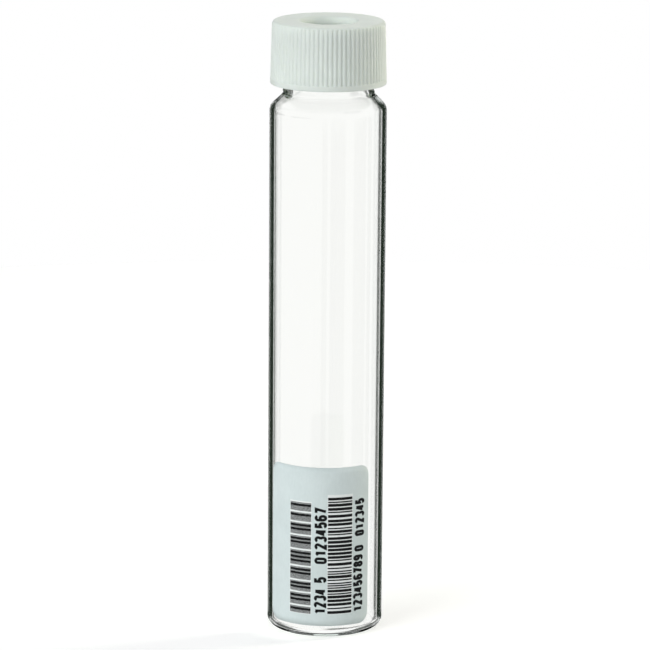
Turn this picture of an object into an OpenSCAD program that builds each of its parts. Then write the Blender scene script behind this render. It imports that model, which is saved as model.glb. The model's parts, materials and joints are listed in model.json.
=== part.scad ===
// Glass sample vial with an open-top screw cap, a septum under the cap and a paper label.
// Millimetres, +Z up. The origin is the centre of the foot, on the surface that the vial stands on.
// The front is -Y. The cap is screwed home, so that the septum is held between the rim and the cap.

/* [Glass body] */
// Outside diameter of the body
body_d = 27.5; // [24:0.1:40]
// Height of the glass, from the foot to the sealing rim
glass_h = 141.3; // [60:0.1:200]
// Thickness of the body wall
wall_t = 1.1; // [0.8:0.05:2.5]
// Thickness of the floor
floor_t = 1; // [0.8:0.1:4]
// Outside radius of the heel
heel_r = 1.3; // [0.5:0.1:2.5]
// Inside radius where the floor meets the wall
floor_r = 1.4; // [0.6:0.1:5]
// Width of the flat ring that the vial stands on
foot_w = 1.8; // [0.8:0.1:4]
// Rise of the push-up in the middle of the base
pushup_h = 0.6; // [0.2:0.1:2]

/* [Shoulder and neck] */
// Step in from the side of the body to the side of the neck
neck_step = 3.1; // [2:0.05:5]
// Thickness of the glass in the neck
neck_t = 1.4; // [1:0.05:3.5]
// Bare neck that shows between the shoulder and the cap
neck_gap = 1.9; // [1:0.1:8]
// Slope of the shoulder below the horizontal, in degrees
shoulder_slope = 42; // [30:1:60]
// Thickness of the glass in the shoulder
shoulder_t = 1.1; // [0.8:0.1:2.5]
// Radius of the bend from the body into the shoulder, outside
shoulder_r = 2.6; // [1:0.1:4]
// Radius of the bend from the shoulder into the neck, outside
neck_fillet_r = 1.2; // [0.5:0.1:2]
// Radius of the bend from the wall into the shoulder, inside
inner_shoulder_r = 1.7; // [1:0.1:3]
// Radius of the bend from the shoulder into the bore, inside
inner_neck_r = 2.5; // [1:0.1:3]
// Radius of the edges of the sealing rim
rim_r = 0.7; // [0.3:0.05:1]

/* [Screw thread] */
// Pitch of the thread
pitch = 3.175; // [3:0.005:4]
// Turns of thread on the glass
glass_turns = 1.2; // [1:0.05:1.5]
// Turns of thread in the cap
cap_turns = 1.2; // [1:0.05:1.5]
// Height of the glass thread above the neck
glass_thread_h = 1.2; // [0.8:0.05:1.3]
// Width of the glass thread at its root
glass_thread_w = 2.4; // [1.6:0.05:2.6]
// Height of the cap thread above the bore of the skirt
cap_thread_h = 1; // [0.6:0.05:1.1]
// Width of the cap thread at its root
cap_thread_w = 1.5; // [0.8:0.05:1.8]
// Width of the cap thread at its crest
cap_crest_w = 0.5; // [0.3:0.05:0.8]
// Depth of the thread's first turn below the sealing rim
thread_start = 2.6; // [2:0.1:3.5]
// Angle over which a thread fades in or out at its ends, in degrees
thread_fade = 45; // [20:5:90]

/* [Screw cap] */
// Height of the cap
cap_h = 14.8; // [13.5:0.1:18]
// Thickness of the skirt's wall just under its rounded top edge, ribs included
skirt_t = 1; // [0.8:0.05:2]
// Draft of the cap's side, in degrees
cap_draft = 1.5; // [0.5:0.1:3]
// Thickness of the top panel
panel_t = 2; // [0.8:0.1:3]
// Diameter of the hole in the top panel
hole_d = 12.9; // [6:0.1:18]
// Radius of the rounded top edge
top_edge_r = 0.9; // [0.4:0.1:1.4]
// Radius of the edge round the hole
hole_edge_r = 0.85; // [0.1:0.05:1.2]
// Running clearance between the crest of the glass thread and the skirt
thread_clearance = 0.4; // [0.2:0.05:0.6]
// Lead-in at the mouth of the skirt
skirt_lead = 0.5; // [0.2:0.05:0.8]
// Radius of the skirt's outer foot edge
foot_edge_r = 0.25; // [0.1:0.05:0.4]
// Number of grip ribs
rib_count = 78; // [40:1:90]
// Width of the groove between two ribs
groove_w = 0.62; // [0.3:0.02:0.8]
// Depth of the grooves
groove_depth = 0.3; // [0.1:0.02:0.4]
// Height of the plain band below the ribs
band_h = 1.25; // [0.6:0.05:3]

/* [Septum] */
// Thickness of the septum
septum_t = 2.7; // [1.5:0.1:4]
// Clearance between the edge of the septum and the skirt
septum_clearance = 0.45; // [0.2:0.05:0.8]
// Radius of the septum's edges
septum_edge_r = 0.15; // [0.05:0.05:0.4]

/* [Label] */
// Width of the label, measured round the glass
label_w = 26.5; // [10:0.1:34]
// Height of the label
label_h = 38.8; // [10:0.1:45]
// Height of the label's lower edge above the foot
label_z = 3.1; // [3:0.1:12]
// Turn of the label's middle from the front, in degrees
label_turn = -8; // [-90:1:90]
// Radius of the label's corners
label_corner_r = 2.6; // [0.5:0.1:4]
// Thickness of the paper
label_t = 0.12; // [0.08:0.01:0.3]

/* [Hidden] */
$fn = 96;

// Steps in a rounded edge, the turn between two sections of a thread, and the steps across its bead
arc_steps = 10;
thread_step = 10;
bead_steps = 6;
// How far a thread is rooted in the wall that carries it
thread_root = 0.3;
// How far a cutting tool runs past what it cuts
overrun = 1;

body_r = body_d / 2;
inner_r = body_r - wall_t;
neck_r = body_r - neck_step;
bore_r = neck_r - neck_t;
foot_r = body_r - heel_r;
pushup_r = foot_r - foot_w;

// The cap sits on the septum, and the septum on the rim
panel_z = glass_h + septum_t;
top_z = panel_z + panel_t;
skirt_z = top_z - cap_h;
skirt_r = neck_r + glass_thread_h + thread_clearance;
septum_r = skirt_r - septum_clearance;

// The shoulder hangs below the bare neck
neck_z = skirt_z - neck_gap;
outer_run = slope_run(neck_step, shoulder_r + neck_fillet_r);
shoulder_z = neck_z - bend_rise(outer_run, shoulder_r + neck_fillet_r);
inner_run = slope_run(inner_r - bore_r, inner_shoulder_r + inner_neck_r);
inner_shoulder_z = shoulder_z + (sin(shoulder_slope) * ((body_r - shoulder_r) - (inner_r - inner_shoulder_r))
    + shoulder_r - inner_shoulder_r - shoulder_t) / cos(shoulder_slope);
bore_z = inner_shoulder_z + bend_rise(inner_run, inner_shoulder_r + inner_neck_r);

// The thread of the cap lies midway between two turns of the thread on the glass
glass_thread_z = glass_h - thread_start - pitch * glass_turns;
cap_thread_z = glass_thread_z - pitch / 2;

// The ribbed side leans in by its draft, and a groove is a round cutter laid along it
cap_top_r = skirt_r + skirt_t;
cap_r = cap_top_r + tan(cap_draft) * (cap_h - top_edge_r - foot_edge_r);
groove_r = (pow(groove_w / 2, 2) + pow(groove_depth, 2)) / (2 * groove_depth);

// Points of an arc round c, from angle a to angle b
function arc(c, r, a, b) = [for (i = [0:arc_steps]) c + r * [cos(a + (b - a) * i / arc_steps),
    sin(a + (b - a) * i / arc_steps)]];

// Points of a shallow dome over a disc of radius w, from its crown to its edge, standing on height z
function dome(w, h, z) = let (r = (w * w + h * h) / (2 * h))
    [for (i = [0:arc_steps]) let (x = w * i / arc_steps) [x, z + h - r + sqrt(r * r - x * x)]];

// Length of the straight slope between two bends, for a step inwards
function slope_run(step, bends) = (step - bends * (1 - sin(shoulder_slope))) / cos(shoulder_slope);

// Height of a slope with its two bends
function bend_rise(run, bends) = run * sin(shoulder_slope) + bends * cos(shoulder_slope);

// Points of a shoulder, from the wall r_low up to the wall r_high, with its two bends
function shoulder(r_low, r_high, z_low, z_high, bend_low, bend_high) = concat(
    arc([r_low - bend_low, z_low], bend_low, 0, 90 - shoulder_slope),
    arc([r_high + bend_high, z_high], bend_high, 270 - shoulder_slope, 180));

function reverse(points) = [for (i = [len(points) - 1:-1:0]) points[i]];

// Share of its full height that a thread has at an angle from its lower end
function thread_grow(a, turns) = let (t = min(1, min(a, 360 * turns - a) / thread_fade)) t * t * (3 - 2 * t);

// A solid swept through rings of points that all have the same count
module sweep(rings) {
    count = len(rings[0]);
    last = len(rings) - 1;
    sides = [for (i = [0:last - 1], j = [0:count - 1]) let (k = (j + 1) % count)
        [i * count + j, (i + 1) * count + j, (i + 1) * count + k, i * count + k]];
    ends = [[for (j = [0:count - 1]) j], [for (j = [count - 1:-1:0]) last * count + j]];
    polyhedron(points = [for (ring = rings) each ring], faces = concat(sides, ends), convexity = 6);
}

// A right-hand thread round the axis, from a section of [distance out, height] pairs that is rooted in the wall
module thread(r, z, turns, outward, section) {
    last = ceil(360 * turns / thread_step);
    sweep([for (i = [0:last])
        let (a = 360 * turns * i / last, grow = thread_grow(a, turns))
        [for (p = section)
            let (d = r + outward * (max(0, p[0] + thread_root) * grow - thread_root - max(0, -thread_root - p[0])))
            [d * cos(a), d * sin(a), z + pitch * a / 360 + p[1]]]]);
}

// Rounded bead of the glass thread: a parabola that starts at its root below the neck's surface
module glass_thread() {
    rise = glass_thread_h + thread_root;
    half_w = glass_thread_w / 2 / sqrt(glass_thread_h / rise);
    bead = [for (i = [0:bead_steps]) let (s = 1 - 2 * i / bead_steps) [rise * (1 - s * s) - thread_root, s * half_w]];
    section = concat([[-2 * thread_root, half_w]], bead, [[-2 * thread_root, -half_w]]);
    thread(neck_r, glass_thread_z, glass_turns, 1, section);
}

// Trapezoid of the cap thread, with its flanks carried on to a root inside the skirt
module cap_thread() {
    root_w = cap_thread_w + thread_root * (cap_thread_w - cap_crest_w) / cap_thread_h;
    section = [[-2 * thread_root, -root_w / 2], [-thread_root, -root_w / 2], [cap_thread_h, -cap_crest_w / 2],
        [cap_thread_h, cap_crest_w / 2], [-thread_root, root_w / 2], [-2 * thread_root, root_w / 2]];
    thread(skirt_r, cap_thread_z, cap_turns, -1, section);
}

// Section of the glass: foot, heel, body, shoulder and neck outside, then the rim and back down inside
module glass_section() {
    polygon(concat(
        dome(pushup_r, pushup_h, 0),
        arc([foot_r, heel_r], heel_r, -90, 0),
        shoulder(body_r, neck_r, shoulder_z, neck_z, shoulder_r, neck_fillet_r),
        arc([neck_r - rim_r, glass_h - rim_r], rim_r, 0, 90),
        arc([bore_r + rim_r, glass_h - rim_r], rim_r, 90, 180),
        reverse(shoulder(inner_r, bore_r, inner_shoulder_z, bore_z, inner_shoulder_r, inner_neck_r)),
        arc([inner_r - floor_r, floor_t + floor_r], floor_r, 0, -90),
        reverse(dome(inner_r - floor_r, pushup_h, floor_t))));
}

// Glass drawn from tube in one piece, with the bead of its screw finish
module glass_vial() color([0.86, 0.91, 0.89, 0.45]) {
    rotate_extrude() glass_section();
    glass_thread();
}

// Section of the cap: the panel round its hole, the drafted side and the skirt
module cap_section() {
    polygon(concat(
        [[hole_d / 2, panel_z]],
        arc([hole_d / 2 + hole_edge_r, top_z - hole_edge_r], hole_edge_r, 180, 90),
        arc([cap_top_r - top_edge_r, top_z - top_edge_r], top_edge_r, 90, 0),
        arc([cap_r - foot_edge_r, skirt_z + foot_edge_r], foot_edge_r, 0, -90),
        [[skirt_r + skirt_lead, skirt_z], [skirt_r, skirt_z + skirt_lead], [skirt_r, panel_z]]));
}

// One round-bottomed groove between two ribs, from the plain band out through the top edge
module rib_groove() {
    lean = (band_h - foot_edge_r) * tan(cap_draft);
    translate([cap_r - lean + (groove_r - groove_depth) / cos(cap_draft), 0, skirt_z + band_h])
        rotate([0, -cap_draft, 0]) cylinder(r = groove_r, h = cap_h, $fn = 24);
}

// Moulded open-top cap with grip ribs outside and the thread inside
module screw_cap() color([0.93, 0.94, 0.93]) {
    difference() {
        rotate_extrude() cap_section();
        for (i = [0:rib_count - 1]) rotate([0, 0, 360 * (i + 0.5) / rib_count]) rib_groove();
    }
    cap_thread();
}

// Bonded disc that seals the rim and closes the hole of the cap
module septum() color([0.95, 0.95, 0.93]) {
    rotate_extrude() polygon(concat(
        [[0, glass_h]],
        arc([septum_r - septum_edge_r, glass_h + septum_edge_r], septum_edge_r, -90, 0),
        arc([septum_r - septum_edge_r, panel_z - septum_edge_r], septum_edge_r, 0, 90),
        [[0, panel_z]]));
}

// Outline of the label seen square on, so that it has true round corners once it lies on the glass
module label_outline() {
    corner_x = label_w / 2 - label_corner_r;
    corner_z = label_h / 2 - label_corner_r;
    flat = concat(
        arc([corner_x, corner_z], label_corner_r, 0, 90),
        arc([-corner_x, corner_z], label_corner_r, 90, 180),
        arc([-corner_x, -corner_z], label_corner_r, 180, 270),
        arc([corner_x, -corner_z], label_corner_r, 270, 360));
    polygon([for (p = flat) [(body_r + label_t) * sin(180 * p[0] / (PI * body_r)), p[1]]]);
}

// Paper label that is stuck to the outside of the glass
module label() color([0.84, 0.89, 0.89]) rotate([0, 0, label_turn]) intersection() {
    translate([0, 0, label_z]) difference() {
        cylinder(r = body_r + label_t, h = label_h);
        translate([0, 0, -overrun]) cylinder(r = body_r, h = label_h + 2 * overrun);
    }
    translate([0, 0, label_z + label_h / 2]) rotate([90, 0, 0]) linear_extrude(body_d) label_outline();
}

glass_vial();
screw_cap();
septum();
label();
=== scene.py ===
"""Looks of a glass sample vial with an open-top screw cap, its septum and a printed paper label.

Sizes are in millimetres unless a name says otherwise, and every mesh is written in metres, in the frame of the part:
+Z up the vial, the front at -Y, the origin at the centre of the foot.
"""

import json
import logging
import math
from dataclasses import dataclass, field
from enum import Enum
from typing import Callable, Optional, Sequence, Union

import bmesh
import bpy
import numpy as np
from mathutils import Matrix, Vector


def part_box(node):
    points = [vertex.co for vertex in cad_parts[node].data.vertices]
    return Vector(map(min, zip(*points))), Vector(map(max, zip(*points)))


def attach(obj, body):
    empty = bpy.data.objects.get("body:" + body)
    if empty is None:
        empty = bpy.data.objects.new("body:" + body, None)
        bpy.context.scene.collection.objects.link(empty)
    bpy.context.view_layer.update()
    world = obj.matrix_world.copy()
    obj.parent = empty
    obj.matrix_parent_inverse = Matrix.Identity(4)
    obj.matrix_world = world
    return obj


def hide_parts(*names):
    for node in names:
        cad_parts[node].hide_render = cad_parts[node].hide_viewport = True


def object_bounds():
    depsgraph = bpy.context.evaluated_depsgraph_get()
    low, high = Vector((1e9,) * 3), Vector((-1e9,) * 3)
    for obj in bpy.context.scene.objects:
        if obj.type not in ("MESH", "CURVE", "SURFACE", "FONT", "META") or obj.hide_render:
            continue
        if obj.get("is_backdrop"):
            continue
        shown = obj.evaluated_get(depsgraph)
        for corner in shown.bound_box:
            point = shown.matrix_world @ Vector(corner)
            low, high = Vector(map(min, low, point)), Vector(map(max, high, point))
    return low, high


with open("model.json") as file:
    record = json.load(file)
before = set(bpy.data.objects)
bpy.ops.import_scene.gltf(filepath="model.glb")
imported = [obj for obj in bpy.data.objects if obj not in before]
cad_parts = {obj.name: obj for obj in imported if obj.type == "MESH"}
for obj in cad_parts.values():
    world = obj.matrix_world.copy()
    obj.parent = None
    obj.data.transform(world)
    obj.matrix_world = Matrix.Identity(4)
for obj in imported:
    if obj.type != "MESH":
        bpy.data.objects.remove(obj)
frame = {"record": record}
CAD_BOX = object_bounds()

LOG = logging.getLogger("sample_vial")
MM = 0.001
Array = np.ndarray
Piece = bpy.types.Object
Material = bpy.types.Material
Socket = bpy.types.NodeSocket
Key = Union[str, int]
Point = tuple[float, float]
Triple = tuple[float, float, float]
Place = Triple
Colour = Triple
Relief = Callable[[Array, Array, Array, Array], Array]


class Body(Enum):
    """Bodies of the frame that the pieces ride on."""

    VIAL = "vial"
    SEPTUM = "septum"
    CAP = "cap"


class Slot(Enum):
    """Material slots of the record."""

    GLASS = "glass"
    CAP = "cap_plastic"
    SEPTUM = "septum_rubber"
    LABEL = "label_paper"


class Zone(Enum):
    """Stretches of a turned profile that get a relief of their own."""

    PLAIN = 0
    THREAD = 1
    RIBS = 2
    WAVY = 3


@dataclass
class MeshParts:
    """Closed mesh in the making.

    Attributes:
        places: Vertices, in metres.
        faces: Vertex numbers of each face.
    """

    places: list[Place] = field(default_factory=list)
    faces: list[list[int]] = field(default_factory=list)

    def join(self, other: "MeshParts") -> None:
        """Takes up another mesh."""
        self.faces += [[i + len(self.places) for i in face] for face in other.faces]
        self.places += other.places

    def build(self, name: str, smooth: bool = True) -> Piece:
        """Makes the object, with outward normals.

        Args:
            name: Name of the object and its mesh.
            smooth: Whether the faces are smooth shaded.

        Returns:
            The object, linked to the scene.
        """
        mesh = bpy.data.meshes.new(name)
        mesh.from_pydata(self.places, [], self.faces)
        work = bmesh.new()
        work.from_mesh(mesh)
        bmesh.ops.remove_doubles(work, verts=work.verts, dist=1e-8)
        bmesh.ops.dissolve_degenerate(work, edges=work.edges, dist=1e-9)
        if work.calc_volume(signed=True) < 0:
            bmesh.ops.reverse_faces(work, faces=work.faces)
        work.to_mesh(mesh)
        work.free()
        mesh.polygons.foreach_set("use_smooth", [smooth] * len(mesh.polygons))
        made = bpy.data.objects.new(name, mesh)
        bpy.context.scene.collection.objects.link(made)
        return made


@dataclass
class Profile:
    """Outline of a turned piece in its half-plane, as radius and height pairs.

    Attributes:
        points: Corners of the outline, in order.
        zones: Zone of the stretch that each point ends.
    """

    points: list[Point] = field(default_factory=list)
    zones: list[Zone] = field(default_factory=list)

    def add(self, point: Point, zone: Zone = Zone.PLAIN) -> None:
        """Adds one point, unless the outline is there already.

        Args:
            point: Radius and height.
            zone: Zone of the stretch that leads to it.
        """
        if not self.points or math.dist(self.points[-1], point) > 1e-6:
            self.points.append(point)
            self.zones.append(zone)

    def line(self, end: Point, steps: int = 1, zone: Zone = Zone.PLAIN) -> None:
        """Adds a straight stretch from the last point.

        Args:
            end: Where it ends.
            steps: How many equal pieces it is cut into.
            zone: Zone of the stretch.
        """
        start = self.points[-1]
        for i in range(1, steps + 1):
            share = i / steps
            self.add((start[0] + (end[0] - start[0]) * share, start[1] + (end[1] - start[1]) * share), zone)

    def arc(self, centre: Point, radius: float, start: float, end: float, steps: int = 10,
            zone: Zone = Zone.PLAIN) -> None:
        """Adds a round stretch.

        Args:
            centre: Centre of the arc.
            radius: Its radius.
            start: Angle of its first point, in degrees.
            end: Angle of its last point, in degrees.
            steps: How many pieces it is cut into.
            zone: Zone of the stretch.
        """
        for i in range(steps + 1):
            angle = math.radians(start + (end - start) * i / steps)
            self.add((centre[0] + radius * math.cos(angle), centre[1] + radius * math.sin(angle)), zone)

    def dome(self, width: float, height: float, base: float, inward: bool = False, steps: int = 12) -> None:
        """Adds a shallow spherical crown over a disc.

        Args:
            width: Radius of the disc.
            height: Rise of the crown.
            base: Height of the disc.
            inward: Whether the outline runs from the edge to the axis.
            steps: How many pieces it is cut into.
        """
        radius = (width ** 2 + height ** 2) / (2 * height)
        for i in range(steps + 1):
            r = width * (1 - i / steps if inward else i / steps)
            self.add((r, base + height - radius + math.sqrt(radius ** 2 - r ** 2)))


@dataclass
class Lathe:
    """Turns a profile into a closed mesh, with an optional relief on its surface.

    Attributes:
        profile: Outline that is turned.
        segments: Number of steps round the axis.
        ring: Whether the outline closes on itself and not on the axis.
    """

    profile: Profile
    segments: int
    ring: bool = False

    def build(self, name: str, relief: Optional[Relief] = None) -> Piece:
        """Makes the turned object.

        Args:
            name: Name of the object.
            relief: Gives the shift of the radius from angle, radius, height and zone.

        Returns:
            The new object, smooth shaded.
        """
        outline = np.array(self.profile.points)
        rows = len(outline)
        zones = np.array([zone.value for zone in self.profile.zones])[:, None] * np.ones((1, self.segments), int)
        theta = np.arange(self.segments)[None, :] * (2 * math.pi / self.segments) * np.ones((rows, 1))
        radius = outline[:, :1] * np.ones((1, self.segments))
        height = outline[:, 1:] * np.ones((1, self.segments))
        if relief is not None:
            radius = radius + relief(theta, radius, height, zones)
        places = np.stack((radius * np.cos(theta), radius * np.sin(theta), height), -1).reshape(-1, 3) * MM
        index = np.arange(rows * self.segments).reshape(rows, self.segments)
        if self.ring:
            index = np.vstack((index, index[:1]))
        turned = np.roll(index, -1, axis=1)
        quads = np.stack((index[:-1], turned[:-1], turned[1:], index[1:]), -1).reshape(-1, 4)
        return MeshParts(places.tolist(), quads.tolist()).build(name)


def smooth_step(low: float, high: float, value: Array) -> Array:
    """Returns how far each value is along a smooth rise, 0 at low and 1 at high."""
    share = np.clip((value - low) / (high - low), 0, 1)
    return share * share * (3 - 2 * share)


class NodeGraph:
    """Small helper that adds nodes to a material or a world and links them."""

    def __init__(self, tree: bpy.types.NodeTree) -> None:
        """Takes a node tree and empties it."""
        self.tree = tree
        tree.nodes.clear()

    def feed(self, socket: Socket, value: object) -> None:
        """Links or sets a socket.

        Args:
            socket: Input to feed.
            value: Socket that feeds it, or its value; a colour comes without alpha.
        """
        if isinstance(value, Socket):
            self.tree.links.new(value, socket)
        else:
            socket.default_value = (*value, 1.0) if socket.type == "RGBA" else value

    def node(self, kind: str, inputs: Optional[dict[Key, object]] = None, **settings: object) -> bpy.types.Node:
        """Adds a shader node.

        Args:
            kind: Name of its type, after the ShaderNode that all have.
            inputs: Sockets by name or number, each with a value or with the socket that feeds it.
            **settings: Properties of the node.

        Returns:
            The new node.
        """
        made = self.tree.nodes.new("ShaderNode" + kind)
        for key, value in settings.items():
            setattr(made, key, value)
        for key, value in (inputs or {}).items():
            self.feed(made.inputs[key], value)
        return made

    def out(self, kind: str, inputs: Optional[dict[Key, object]] = None, name: Key = 0, **settings: object) -> Socket:
        """Adds a node and returns one of its outputs, the first unless it is named."""
        return self.node(kind, inputs, **settings).outputs[name]

    def math(self, operation: str, first: object, second: object = 0.0) -> Socket:
        """Returns the result of an operation on two values or sockets."""
        return self.out("Math", {0: first, 1: second}, operation=operation)

    def blend(self, share: object, first: object, second: object) -> Socket:
        """Mixes two colours.

        Args:
            share: Share of the second colour, a value or a socket.
            first: First colour or its socket.
            second: Second colour or its socket.

        Returns:
            The mixed colour.
        """
        made = self.node("Mix", data_type="RGBA")
        for key, value in (("Factor", share), ("A", first), ("B", second)):
            self.feed(next(s for s in made.inputs if s.name == key and s.enabled), value)
        return next(s for s in made.outputs if s.enabled)

    def noise(self, scale: float, detail: float = 3.0, roughness: float = 0.5,
              stretch: Triple = (1.0, 1.0, 1.0)) -> Socket:
        """Returns a noise of about 0.5, by cells per metre, octaves, weight of the fine ones and scale by axis."""
        place = self.out("Mapping", {"Vector": self.out("TexCoord", name="Object"), "Scale": stretch})
        return self.out("TexNoise", {"Vector": place, "Scale": scale, "Detail": detail, "Roughness": roughness})

    def spread(self, value: Socket, low: float, high: float, start: float = 0.3, end: float = 0.7) -> Socket:
        """Returns a noise mapped from its span, start to end, onto the range from low to high."""
        ends = {"From Min": start, "From Max": end, "To Min": low, "To Max": high}
        return self.out("MapRange", {"Value": value, **ends})

    def step(self, value: Socket, low: float, high: float) -> Socket:
        """Returns a soft step, 0 at low and 1 at high."""
        ends = {"From Min": low, "From Max": high}
        return self.out("MapRange", {"Value": value, **ends}, interpolation_type="SMOOTHSTEP")

    def level(self, way: Socket) -> Socket:
        """Returns the level part of a place or a direction."""
        return self.out("VectorMath", {0: way, 1: (1.0, 1.0, 0.0)}, operation="MULTIPLY")

    def bump(self, height: Socket, strength: float, distance: float) -> Socket:
        """Returns the normal, bent by a relief whose depth is a distance in metres."""
        return self.out("Bump", {"Height": height, "Strength": strength, "Distance": distance})

    def surface(self, shader: Socket, volume: Optional[Socket] = None) -> None:
        """Links the shaders to the output.

        Args:
            shader: Shader of the surface.
            volume: Shader of the inside.
        """
        output = self.node("OutputMaterial", {"Surface": shader})
        if volume is not None:
            self.feed(output.inputs["Volume"], volume)


def new_material(name: str) -> tuple[Material, NodeGraph]:
    """Makes a material with an empty graph.

    Args:
        name: Name of the material.

    Returns:
        The material and its graph.
    """
    material = bpy.data.materials.new(name)
    material.use_nodes = True
    return material, NodeGraph(material.node_tree)


@dataclass(frozen=True)
class ClearGlass:
    """Clear drawn glass with a faint green edge and the fine streaks that drawing leaves along it.

    Attributes:
        ior: Refractive index.
        tint: Colour of the light that crosses the surface.
        shadow_tint: Colour of the light that it lets through to its shadow.
        absorption: Colour that the glass keeps over a long way.
        density: Absorption per metre.
        streak_depth: Depth of the draw streaks, in metres.
    """

    ior: float = 1.5
    tint: Colour = (0.985, 0.985, 0.975)
    shadow_tint: Colour = (0.94, 0.97, 0.955)
    absorption: Colour = (0.72, 0.9, 0.82)
    density: float = 22.0
    streak_depth: float = 0.00001

    def build(self) -> Material:
        """Returns the finished material."""
        material, graph = new_material("clear_glass")
        streaks = graph.noise(scale=260.0, detail=2.0, roughness=0.4, stretch=(1.0, 1.0, 0.04))
        glass = graph.out("BsdfPrincipled", {
            "Base Color": self.tint, "Roughness": 0.0, "IOR": self.ior, "Transmission Weight": 1.0,
            "Normal": graph.bump(streaks, 0.05, self.streak_depth)})
        clear = graph.out("BsdfTransparent", {"Color": self.shadow_tint})
        shadow = graph.out("LightPath", name="Is Shadow Ray")
        inside = graph.out("VolumeAbsorption", {"Color": self.absorption, "Density": self.density})
        graph.surface(graph.out("MixShader", {0: shadow, 1: glass, 2: clear}), inside)
        return material


@dataclass(frozen=True)
class MouldedPlastic:
    """White moulded plastic: satin, a little translucent, with the fine grain of the mould.

    Attributes:
        light: Colour of its lighter clouds.
        dark: Colour of its darker clouds.
        roughness: Mean roughness.
        translucency: Share of the light that travels under the skin.
        reach: How far red, green and blue light travels there, in metres.
    """

    light: Colour = (0.748, 0.818, 0.762)
    dark: Colour = (0.708, 0.776, 0.722)
    roughness: float = 0.42
    translucency: float = 0.45
    reach: Triple = (0.0034, 0.0034, 0.003)

    def build(self) -> Material:
        """Returns the finished material."""
        material, graph = new_material("moulded_white_plastic")
        clouds = graph.spread(graph.noise(scale=130.0), 0.0, 1.0)
        gloss = graph.noise(scale=420.0, detail=4.0)
        grain = graph.noise(scale=2600.0, detail=2.0, roughness=0.6)
        graph.surface(graph.out("BsdfPrincipled", {
            "Base Color": graph.blend(clouds, self.dark, self.light), "IOR": 1.49,
            "Roughness": graph.spread(gloss, self.roughness - 0.07, self.roughness + 0.08),
            "Subsurface Weight": self.translucency, "Subsurface Radius": self.reach, "Subsurface Scale": 1.0,
            "Normal": graph.bump(grain, strength=0.16, distance=0.00004)}))
        return material


@dataclass(frozen=True)
class SeptumRubber:
    """Soft white rubber disc, with a smoother film bonded to its lower face.

    Attributes:
        film_height: Height in the frame below which the film shows, in metres.
        rubber: Colour of the soft body.
        film: Colour of the film.
        cloud: How much darker the clouds in the rubber are.
        reach: How far red, green and blue light travels under its skin, in metres.
    """

    film_height: float
    rubber: Colour = (0.92, 0.93, 0.9)
    film: Colour = (0.72, 0.68, 0.6)
    cloud: float = 0.93
    reach: Triple = (0.003, 0.003, 0.0027)

    def build(self) -> Material:
        """Returns the finished material."""
        material, graph = new_material("septum_rubber")
        height = graph.out("SeparateXYZ", {"Vector": graph.out("TexCoord", name="Object")}, "Z")
        low = graph.math("LESS_THAN", height, self.film_height)
        clouds = graph.blend(graph.spread(graph.noise(scale=220.0), 0.0, 1.0),
                             tuple(self.cloud * c for c in self.rubber), self.rubber)
        grain = graph.noise(scale=1500.0, detail=3.0)
        graph.surface(graph.out("BsdfPrincipled", {
            "Base Color": graph.blend(low, clouds, self.film), "Roughness": graph.spread(low, 0.62, 0.3, 0.0, 1.0),
            "Subsurface Weight": 0.6, "Subsurface Radius": self.reach, "Subsurface Scale": 1.0,
            "Normal": graph.bump(grain, strength=0.25, distance=0.00005)}))
        return material


@dataclass(frozen=True)
class LabelPaper:
    """Coated paper with a fine fibre.

    Attributes:
        name: Name of the material.
        light: Colour of the coating.
        dark: Colour where a fibre shows through.
        back: Colour of the uncoated back, partly the paper's own pale back and partly painted light: it is made paler
            to stand in for the light that reaches it through the glass.
        face_r: Distance from the vial's axis below which the back shows, in metres.
    """

    name: str = "pale_blue_paper"
    light: Colour = (0.675, 0.757, 0.757)
    dark: Colour = (0.63, 0.711, 0.711)
    back: Colour = (0.87, 0.885, 0.875)
    face_r: float = 0.0

    def build(self) -> Material:
        """Returns the finished material."""
        material, graph = new_material(self.name)
        fibre = graph.noise(scale=1900.0, detail=4.0, roughness=0.65, stretch=(1.0, 1.0, 0.35))
        clouds = graph.noise(scale=160.0, detail=2.0)
        mixed = graph.math("MULTIPLY", graph.math("ADD", fibre, clouds), 0.5)
        colour = graph.blend(graph.spread(mixed, 0.0, 1.0, 0.38, 0.62), self.dark, self.light)
        plan = graph.level(graph.out("TexCoord", name="Object"))
        radius = graph.out("VectorMath", {0: plan}, "Value", operation="LENGTH")
        # The inner side takes the back colour, which carries painted light for the light that reaches it through the
        # glass.
        under = graph.math("LESS_THAN", radius, self.face_r)
        graph.surface(graph.out("BsdfPrincipled", {
            "Base Color": graph.blend(under, colour, self.back), "Roughness": graph.spread(clouds, 0.5, 0.62),
            "Specular IOR Level": 0.2, "Normal": graph.bump(fibre, strength=0.12, distance=0.00003)}))
        return material


@dataclass(frozen=True)
class PrintInk:
    """Black print with the small pale specks that a ribbon printer leaves.

    Attributes:
        ink: Colour of the ink.
        speck: Colour of a worn speck.
    """

    ink: Colour = (0.004, 0.0045, 0.005)
    speck: Colour = (0.02, 0.022, 0.023)

    def build(self) -> Material:
        """Returns the finished material."""
        material, graph = new_material("label_ink")
        specks = graph.noise(scale=3200.0, detail=2.0, roughness=0.6)
        graph.surface(graph.out("BsdfPrincipled", {
            "Base Color": graph.blend(graph.spread(specks, 0.0, 1.0, 0.55, 0.75), self.ink, self.speck),
            "Roughness": graph.spread(specks, 0.5, 0.62), "Specular IOR Level": 0.12}))
        return material


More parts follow.
